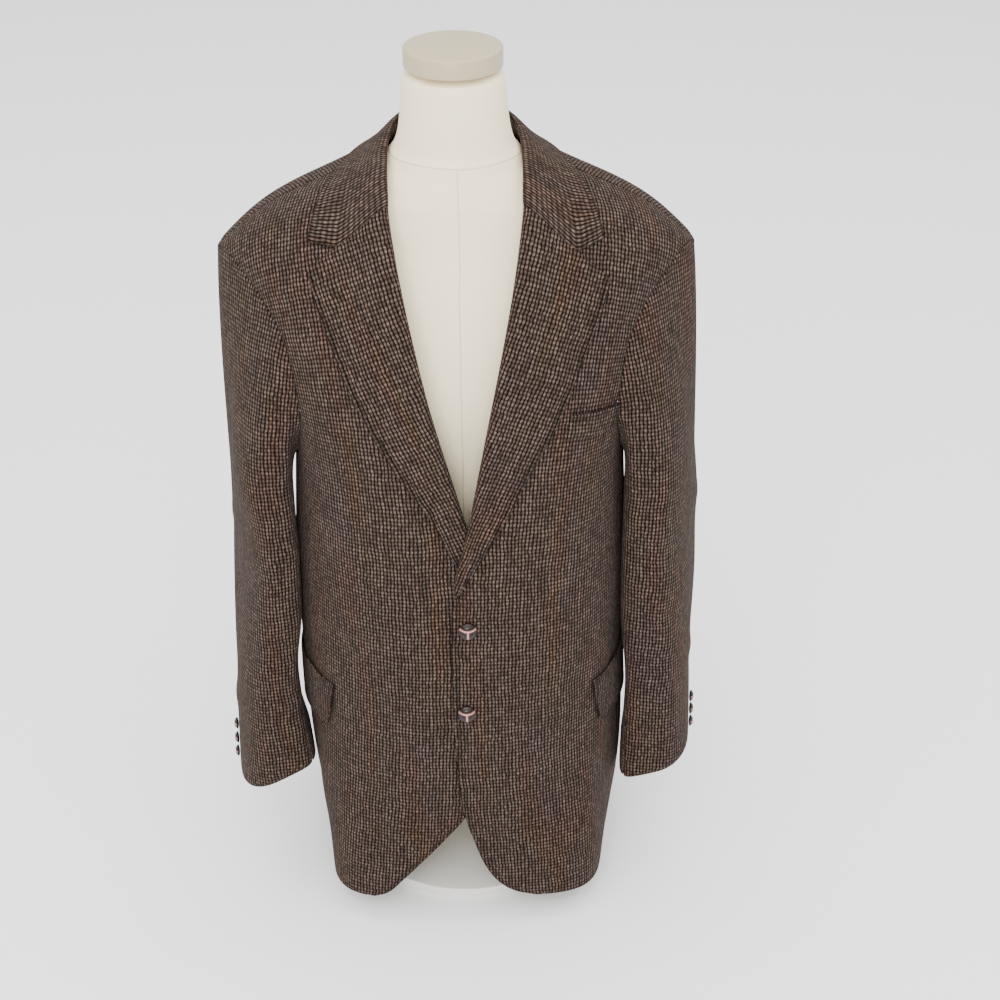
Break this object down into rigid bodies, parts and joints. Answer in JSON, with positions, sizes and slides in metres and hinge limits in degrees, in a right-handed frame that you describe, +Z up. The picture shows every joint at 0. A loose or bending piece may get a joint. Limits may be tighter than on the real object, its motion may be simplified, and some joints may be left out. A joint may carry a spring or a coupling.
{
  "type": "tweed jacket on a dress form",
  "caption": "Brown checked tweed jacket with notch lapels, leather buttons and flap pockets, on a cream limbless dress form with a round base.",
  "frame": {"origin": "middle of the underside of the stand's base, on the floor", "axes": "+Z up along the pole, -Y towards the jacket's front, +X towards the wearer's left"},
  "size_m": [0.5404, 0.3585, 0.988],
  "materials": {
    "tweed": "brushed wool, matte, small dark check with oatmeal flecks",
    "leather": "polished woven leather, dark oxblood",
    "form_cover": "smooth stretched jersey, matte cream",
    "neck_cap": "satin cream",
    "stand_paint": "satin off-white paint"
  },
  "bodies": {
    "root": {"front_left_over": "tweed", "side_body_left": "tweed", "back_left": "tweed", "front_right_under": "tweed", "side_body_right": "tweed", "back_right": "tweed", "collar_fall": "tweed", "collar_stand": "tweed", "breast_welt": "tweed", "lapel_left_over": "tweed", "lapel_right_under": "tweed", "top_sleeve_left": "tweed", "under_sleeve_left": "tweed", "top_sleeve_right": "tweed", "under_sleeve_right": "tweed", "pocket_flap_left": "tweed", "pocket_flap_right": "tweed", "front_button_1": "leather", "front_button_2": "leather", "cuff_button_left_1": "leather", "cuff_button_left_2": "leather", "cuff_button_left_3": "leather", "cuff_button_right_1": "leather", "cuff_button_right_2": "leather", "cuff_button_right_3": "leather", "form_torso": "form_cover", "neck_cap": "neck_cap", "stand_pole": "stand_paint", "stand_base": "stand_paint"}
  },
  "joints": []
}
